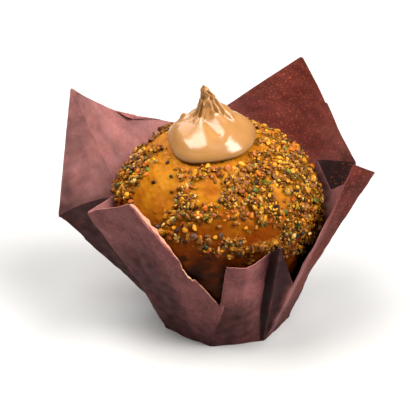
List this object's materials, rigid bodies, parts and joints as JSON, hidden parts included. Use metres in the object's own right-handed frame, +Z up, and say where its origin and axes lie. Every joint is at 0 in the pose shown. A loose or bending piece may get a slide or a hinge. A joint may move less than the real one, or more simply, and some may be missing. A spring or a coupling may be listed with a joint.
{
  "type": "muffin",
  "caption": "Glazed muffin coated with chopped nuts and topped with a dollop of cream, standing in a folded tulip paper case.",
  "frame": {"origin": "middle of the paper case's flat foot, on the surface that it stands on", "axes": "+Z up, -Y towards the front, where the short pleat of the case and the open notch beside it are, +X to the right of that view"},
  "size_m": [0.1154, 0.0863, 0.0922],
  "materials": {
    "crust": "glazed golden crust with chopped nuts baked on",
    "cream": "smooth glossy caramel-coloured cream",
    "paper": "dark red-brown greaseproof paper, matt with a faint sheen"
  },
  "bodies": {
    "root": {"muffin": "crust", "cream": "cream", "paper_case": "paper"}
  },
  "joints": []
}
